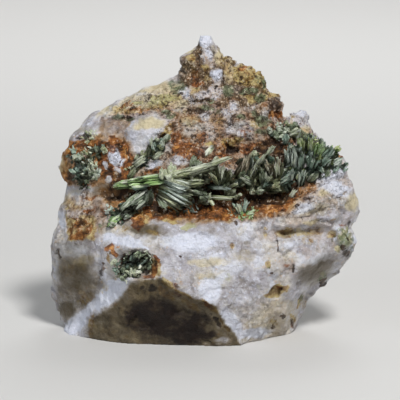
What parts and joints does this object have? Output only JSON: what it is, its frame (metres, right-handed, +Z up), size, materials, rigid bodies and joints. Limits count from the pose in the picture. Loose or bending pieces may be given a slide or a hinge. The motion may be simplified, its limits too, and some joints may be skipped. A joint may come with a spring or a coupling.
{
  "type": "pyromorphite specimen",
  "caption": "Rough cabinet piece of milky quartz with a rusty seam of short green hexagonal crystals across its face, standing on a flat base.",
  "frame": {"origin": "on the resting surface, at the centre of the bounding box's footprint", "axes": "+X to the right along the crystal seam, +Y away from the crystal face towards the rough back, +Z up to the peak"},
  "size_m": [0.078, 0.0462, 0.0727],
  "materials": {
    "milky_quartz": "rough broken milky quartz with iron stain",
    "pyromorphite": "resinous olive to grass-green crystals"
  },
  "bodies": {
    "root": {"quartz_matrix": "milky_quartz", "main_crystal_sheaves": "pyromorphite", "right_crystal_sheaves": "pyromorphite", "right_crystal_mass": "pyromorphite", "top_right_crystal_crust": "pyromorphite", "lower_left_crystal_arm": "pyromorphite", "diagonal_crystal_row": "pyromorphite", "left_crystal_cluster": "pyromorphite", "pocket_crystal_cluster": "pyromorphite", "lower_crystal_star": "pyromorphite", "stray_crystal": "pyromorphite", "left_crystal_tuft": "pyromorphite"}
  },
  "joints": []
}
